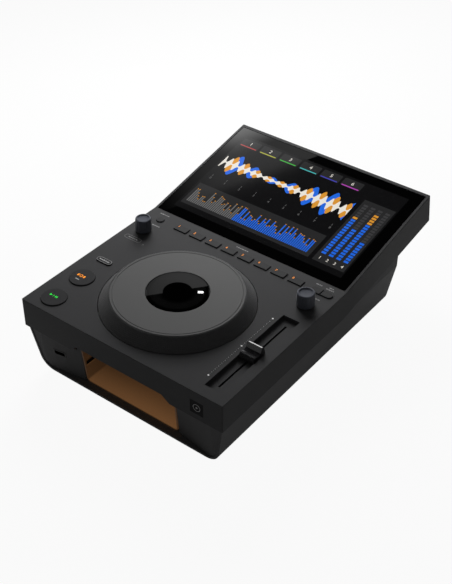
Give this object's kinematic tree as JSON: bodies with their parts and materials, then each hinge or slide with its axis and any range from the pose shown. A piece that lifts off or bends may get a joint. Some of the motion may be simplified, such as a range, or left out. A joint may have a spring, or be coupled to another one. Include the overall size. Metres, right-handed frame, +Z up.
{
  "type": "tabletop media player",
  "caption": "Tabletop media player with a large touch wheel, a raised tilted screen, a pitch fader, a row of keys, push knobs and a lit socket bay in the front.",
  "frame": {"origin": "on the table under the middle of the player's outline", "axes": "+X to the player's right, +Y from the front edge to the back, +Z up"},
  "size_m": [0.25, 0.3753, 0.1222],
  "materials": {
    "casing_plastic": "fine matte charcoal moulding",
    "tub_plastic": "fine matte charcoal moulding",
    "touch_mark_film": "black film with a pale pictogram",
    "screen_glass": "black glossy cover glass",
    "panel_metal": "pressed sheet steel",
    "bay_plastic": "matte moulding under amber light",
    "light_diffuser": "milky amber diffuser, emissive",
    "socket_metal": "plated shell",
    "rear_metal": "black powder coat",
    "black_plastic": "black moulding",
    "jog_plastic": "dimpled dark moulding",
    "jog_metal": "fine blasted dark grey anodised disc",
    "lens_gloss": "black glossy lens",
    "bearing_steel": "bright steel",
    "key_plastic": "matte charcoal cap",
    "knob_rubber": "fluted bluish-grey rubber",
    "fader_plastic": "satin black cap with a white line",
    "board": "green circuit board",
    "foot_rubber": "black rubber"
  },
  "bodies": {
    "casing": {"bay_light_bar": "light_diffuser", "bay_liner": "bay_plastic", "bay_usb_port": "socket_metal", "bearing_inner_race": "bearing_steel", "casing_screws": "bearing_steel", "coax_jacks": "socket_metal", "encoder_sensor": "black_plastic", "fader_body": "panel_metal", "feet": "foot_rubber", "front_panel_left": "tub_plastic", "front_panel_right": "tub_plastic", "front_usb_c_port": "socket_metal", "front_usb_port": "socket_metal", "jog_base_plate": "panel_metal", "jog_display": "black_plastic", "jog_lens": "lens_gloss", "jog_post": "black_plastic", "key_board": "board", "knob_encoders": "bearing_steel", "lower_chassis": "tub_plastic", "main_board": "board", "network_jack": "socket_metal", "power_inlet": "black_plastic", "power_supply": "board", "power_switch_frame": "black_plastic", "rear_panel": "rear_metal", "screen_back_cover": "tub_plastic", "screen_bracket": "panel_metal", "screen_glass": "screen_glass", "screen_panel": "panel_metal", "touch_mark": "touch_mark_film", "upper_chassis": "casing_plastic"},
    "jog_wheel": {"jog_rim": "jog_plastic", "jog_top_plate": "jog_metal", "jog_hub": "black_plastic", "bearing_outer_race": "bearing_steel", "encoder_disc": "bearing_steel"},
    "ball_ring": {"bearing_balls": "bearing_steel"},
    "left_knob": {"left_knob": "knob_rubber", "left_knob_shaft": "bearing_steel"},
    "right_knob_push": {"right_knob_plunger": "bearing_steel"},
    "right_knob": {"right_knob": "knob_rubber", "right_knob_shaft": "bearing_steel"},
    "fader": {"fader_cap": "fader_plastic", "fader_lever": "black_plastic"},
    "power_button": {"power_button": "black_plastic"},
    "play": {"play_button": "key_plastic"},
    "cue": {"cue_button": "key_plastic"},
    "pill_key": {"pill_button": "key_plastic"},
    "small_key": {"small_round_button": "key_plastic"},
    "split_left": {"split_button_left": "key_plastic"},
    "split_right": {"split_button_right": "key_plastic"},
    "hot_cue_1": {"hot_cue_button_1": "key_plastic"},
    "hot_cue_2": {"hot_cue_button_2": "key_plastic"},
    "hot_cue_3": {"hot_cue_button_3": "key_plastic"},
    "hot_cue_4": {"hot_cue_button_4": "key_plastic"},
    "hot_cue_5": {"hot_cue_button_5": "key_plastic"},
    "hot_cue_6": {"hot_cue_button_6": "key_plastic"},
    "hot_cue_7": {"hot_cue_button_7": "key_plastic"},
    "hot_cue_8": {"hot_cue_button_8": "key_plastic"}
  },
  "joints": [
    {"name": "jog_spin", "type": "hinge", "parent": "casing", "child": "jog_wheel", "pos_m": [0, -0.09643, 0.0914], "axis": [0, 0, 1], "continuous": true},
    {"name": "ball_ring_spin", "type": "hinge", "parent": "casing", "child": "ball_ring", "pos_m": [0, -0.09643, 0.0914], "axis": [0, 0, 1], "continuous": true},
    {"name": "left_knob_turn", "type": "hinge", "parent": "casing", "child": "left_knob", "pos_m": [-0.106, -0.02443, 0.0914], "axis": [0, 0, 1], "continuous": true},
    {"name": "right_knob_press", "type": "slide", "parent": "casing", "child": "right_knob_push", "axis": [0, 0, -1], "range_m": [0, 0.0005], "stiffness_N_per_m": 1500, "springref_m": -0.0008},
    {"name": "right_knob_turn", "type": "hinge", "parent": "right_knob_push", "child": "right_knob", "pos_m": [0.1029, -0.02443, 0.0914], "axis": [0, 0, 1], "continuous": true},
    {"name": "fader_slide", "type": "slide", "parent": "casing", "child": "fader", "axis": [0, 1, 0], "range_m": [-0.05, 0.05]},
    {"name": "power_press", "type": "slide", "parent": "casing", "child": "power_button", "axis": [0, -1, 0], "range_m": [0, 0.003], "stiffness_N_per_m": 400, "springref_m": -0.002},
    {"name": "play_press", "type": "slide", "parent": "casing", "child": "play", "axis": [0, 0, -1], "range_m": [0, 0.001], "stiffness_N_per_m": 600, "springref_m": -0.0008},
    {"name": "cue_press", "type": "slide", "parent": "casing", "child": "cue", "axis": [0, 0, -1], "range_m": [0, 0.001], "stiffness_N_per_m": 600, "springref_m": -0.0008},
    {"name": "pill_key_press", "type": "slide", "parent": "casing", "child": "pill_key", "axis": [0, 0, -1], "range_m": [0, 0.001], "stiffness_N_per_m": 600, "springref_m": -0.0008},
    {"name": "small_key_press", "type": "slide", "parent": "casing", "child": "small_key", "axis": [0, 0, -1], "range_m": [0, 0.001], "stiffness_N_per_m": 600, "springref_m": -0.0008},
    {"name": "split_left_press", "type": "slide", "parent": "casing", "child": "split_left", "axis": [0, 0, -1], "range_m": [0, 0.001], "stiffness_N_per_m": 600, "springref_m": -0.0008},
    {"name": "split_right_press", "type": "slide", "parent": "casing", "child": "split_right", "axis": [0, 0, -1], "range_m": [0, 0.001], "stiffness_N_per_m": 600, "springref_m": -0.0008},
    {"name": "hot_cue_1_press", "type": "slide", "parent": "casing", "child": "hot_cue_1", "axis": [0, 0, -1], "range_m": [0, 0.001], "stiffness_N_per_m": 600, "springref_m": -0.0008},
    {"name": "hot_cue_2_press", "type": "slide", "parent": "casing", "child": "hot_cue_2", "axis": [0, 0, -1], "range_m": [0, 0.001], "stiffness_N_per_m": 600, "springref_m": -0.0008},
    {"name": "hot_cue_3_press", "type": "slide", "parent": "casing", "child": "hot_cue_3", "axis": [0, 0, -1], "range_m": [0, 0.001], "stiffness_N_per_m": 600, "springref_m": -0.0008},
    {"name": "hot_cue_4_press", "type": "slide", "parent": "casing", "child": "hot_cue_4", "axis": [0, 0, -1], "range_m": [0, 0.001], "stiffness_N_per_m": 600, "springref_m": -0.0008},
    {"name": "hot_cue_5_press", "type": "slide", "parent": "casing", "child": "hot_cue_5", "axis": [0, 0, -1], "range_m": [0, 0.001], "stiffness_N_per_m": 600, "springref_m": -0.0008},
    {"name": "hot_cue_6_press", "type": "slide", "parent": "casing", "child": "hot_cue_6", "axis": [0, 0, -1], "range_m": [0, 0.001], "stiffness_N_per_m": 600, "springref_m": -0.0008},
    {"name": "hot_cue_7_press", "type": "slide", "parent": "casing", "child": "hot_cue_7", "axis": [0, 0, -1], "range_m": [0, 0.001], "stiffness_N_per_m": 600, "springref_m": -0.0008},
    {"name": "hot_cue_8_press", "type": "slide", "parent": "casing", "child": "hot_cue_8", "axis": [0, 0, -1], "range_m": [0, 0.001], "stiffness_N_per_m": 600, "springref_m": -0.0008}
  ],
  "couplings": [
    {"joint": "ball_ring_spin", "follows": "jog_spin", "ratio": 0.548}
  ]
}
